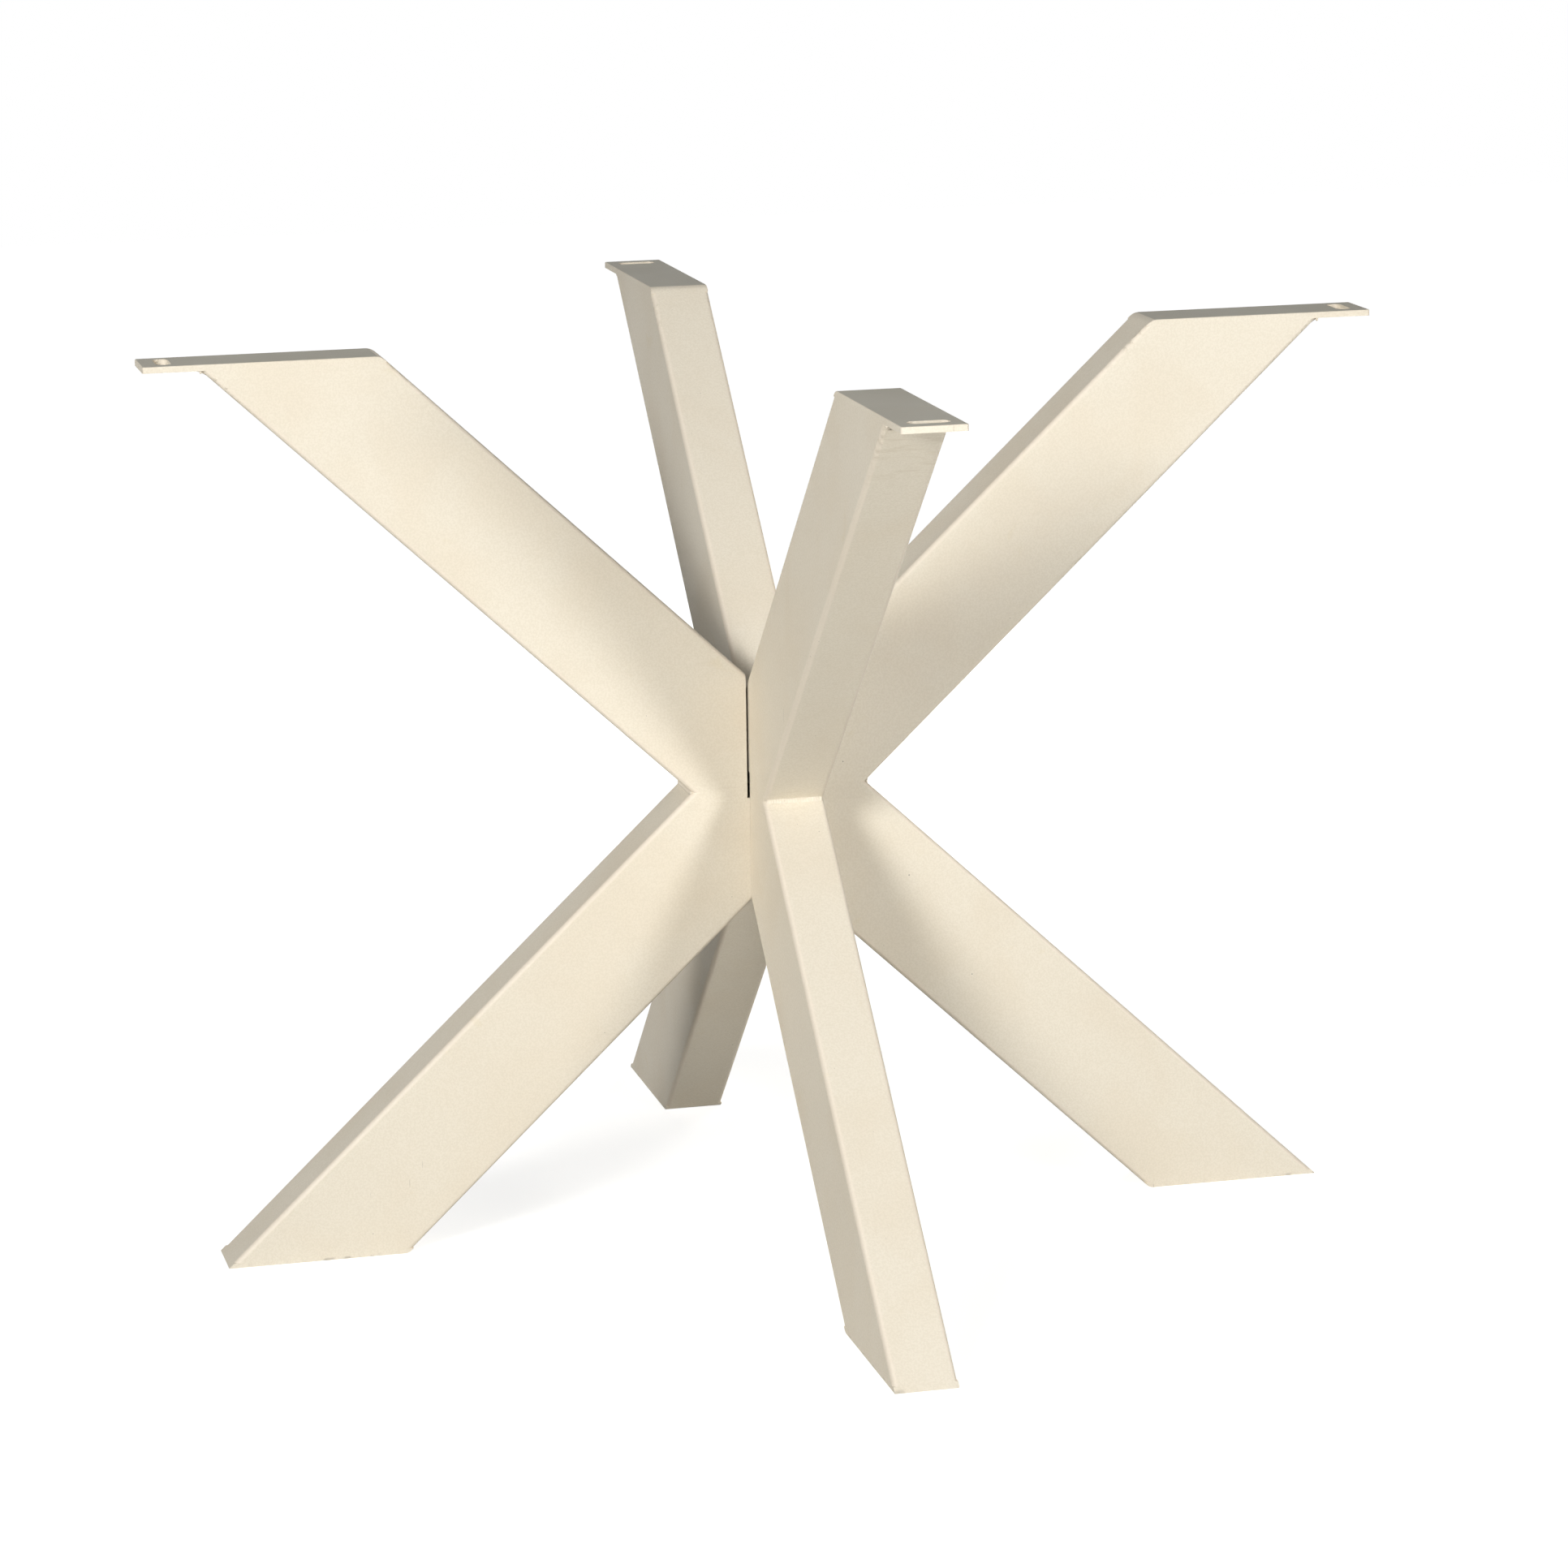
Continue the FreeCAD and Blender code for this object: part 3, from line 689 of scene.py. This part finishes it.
def crotch_beads(solids, welds):
    """The beads in the V between opposite arms' inner faces: upper arms, then lower ones.

    An inner face falls by slope times its distance from the centre line, so the
    lines of both frames' inner faces cross on the centre line.
    """
    run, fall = arm_direction(solids)
    slope = -fall / run
    short, hollow = BEADS["crotch"]
    width = 2 * solids["half_width"] - short
    upper = solids["tab_underside"] - slope * solids["plate_inner"]
    lower = solids["foot_top"] + slope * solids["foot_inner"]
    leg = welds.crotch_leg
    top = bead_surface((0.0, upper), (run, -fall), (-run, -fall), leg, width, hollow, welds)
    bottom = bead_surface((0.0, lower), (run, fall), (-run, fall), leg, width, hollow, welds)
    return top, bottom


class TABLEBASE_OT_set_stage(Operator):
    """Set up the floor, softboxes, room light and camera"""

    bl_idname = "table_base.set_stage"
    bl_label = "Set Stage"

    def execute(self, context):
        stage = context.scene.table_base_stage
        half = stage.floor_size / 2
        corners = np.array([[-half, -half, 0], [half, -half, 0], [half, half, 0], [-half, half, 0]])
        floor = new_piece("studio_floor", corners, [(0, 1, 2, 3)], studio_floor(stage), smooth=False)

        for softbox in SOFTBOXES:
            hang_softbox(context.scene, stage, *softbox)
        set_room(context.scene, stage)
        set_camera(context.scene, stage)
        context.scene.view_settings.view_transform = "Standard"
        return {"FINISHED"}


def hang_softbox(scene, stage, name, heading, rise, reach, side, watts, glossy):
    """Hangs a square lamp that faces the middle of the base and is hidden from the camera."""
    heading, rise = math.radians(heading), math.radians(rise)
    towards = Vector((math.sin(heading) * math.cos(rise),
                      -math.cos(heading) * math.cos(rise), math.sin(rise)))
    lamp = bpy.data.lights.new(name, "AREA")
    lamp.shape = "SQUARE"
    lamp.size = side
    lamp.energy = watts * stage.lamp_level
    holder = bpy.data.objects.new(name, lamp)
    holder.location = Vector((0.0, 0.0, LAMP_AIM)) + reach * towards
    holder.rotation_euler = towards.to_track_quat("Z", "Y").to_euler()
    holder.visible_camera = False
    holder.visible_glossy = glossy
    scene.collection.objects.link(holder)


def set_room(scene, stage):
    """White where it is seen or mirrored, and else a room that darkens towards its ceiling."""
    world = bpy.data.worlds.new("studio_room")
    world.use_nodes = True
    tree = world.node_tree
    tree.nodes.clear()
    way = add_node(tree, TEXTURE_PLACE).outputs["Generated"]
    up = add_node(tree, AXES, {"Vector": way}).outputs["Z"]
    level = add_node(tree, RANGE, {
        "Value": up, "From Min": 0.1, "From Max": 0.9, "To Min": stage.fill, "To Max": stage.ceiling},
        **SMOOTH)
    room = add_node(tree, "ShaderNodeBackground", {"Color": (1.0, 1.0, 1.0, 1.0), "Strength": level})
    white = add_node(tree, "ShaderNodeBackground", {"Color": (1.0, 1.0, 1.0, 1.0), "Strength": 1.0})
    both = add_node(tree, "ShaderNodeMixShader", {0: seen_rays(tree), 1: room, 2: white})
    add_node(tree, "ShaderNodeOutputWorld", {"Surface": both})
    scene.world = world


def set_camera(scene, stage):
    """Points the camera by its heading, tilt and roll."""
    heading, tilt, roll = stage.camera_heading, stage.camera_tilt, stage.camera_roll
    ahead = Vector((math.sin(heading) * math.cos(tilt),
                    math.cos(heading) * math.cos(tilt), math.sin(tilt)))
    right = Vector((math.cos(heading), -math.sin(heading), 0.0))
    up = right.cross(ahead)
    right, up = (math.cos(roll) * right + math.sin(roll) * up,
                 math.cos(roll) * up - math.sin(roll) * right)
    lens = bpy.data.cameras.new("photo_camera")
    lens.lens = stage.camera_lens
    lens.sensor_width = 36.0
    lens.clip_end = 100.0
    camera = bpy.data.objects.new("photo_camera", lens)
    turn = Matrix((right, up, -ahead)).transposed().to_4x4()
    camera.matrix_world = Matrix.Translation(stage.camera_place) @ turn
    scene.collection.objects.link(camera)
    scene.camera = camera


class TABLEBASE_PT_sidebar(Panel):
    """The table base's tools, in the sidebar"""

    bl_label = "Table Base"
    bl_idname = "TABLEBASE_PT_sidebar"
    bl_space_type = "VIEW_3D"
    bl_region_type = "UI"
    bl_category = "Table Base"

    def draw(self, context):
        for operator in STEPS:
            self.layout.operator(operator.bl_idname)
        for group, _ in GROUPS:
            box = self.layout.box()
            settings = getattr(context.scene, group)
            for name in settings.__annotations__:
                box.prop(settings, name)


STEPS = (
    TABLEBASE_OT_coat_steel,
    TABLEBASE_OT_lay_tab_welds,
    TABLEBASE_OT_lay_waist_welds,
    TABLEBASE_OT_lay_crotch_welds,
    TABLEBASE_OT_set_stage,
)
GROUPS = (
    ("table_base_coat", CoatSettings),
    ("table_base_welds", WeldSettings),
    ("table_base_stage", StageSettings),
)


def register():
    for group, settings in GROUPS:
        bpy.utils.register_class(settings)
        setattr(bpy.types.Scene, group, PointerProperty(type=settings))
    for kind in (*STEPS, TABLEBASE_PT_sidebar):
        bpy.utils.register_class(kind)


def unregister():
    for kind in reversed((*STEPS, TABLEBASE_PT_sidebar)):
        bpy.utils.unregister_class(kind)
    for group, settings in reversed(GROUPS):
        delattr(bpy.types.Scene, group)
        bpy.utils.unregister_class(settings)


def main():
    register()
    bpy.ops.table_base.coat_steel()
    bpy.ops.table_base.lay_tab_welds()
    bpy.ops.table_base.lay_waist_welds()
    bpy.ops.table_base.lay_crotch_welds()
    bpy.ops.table_base.set_stage()


if __name__ == "__main__":
    main()
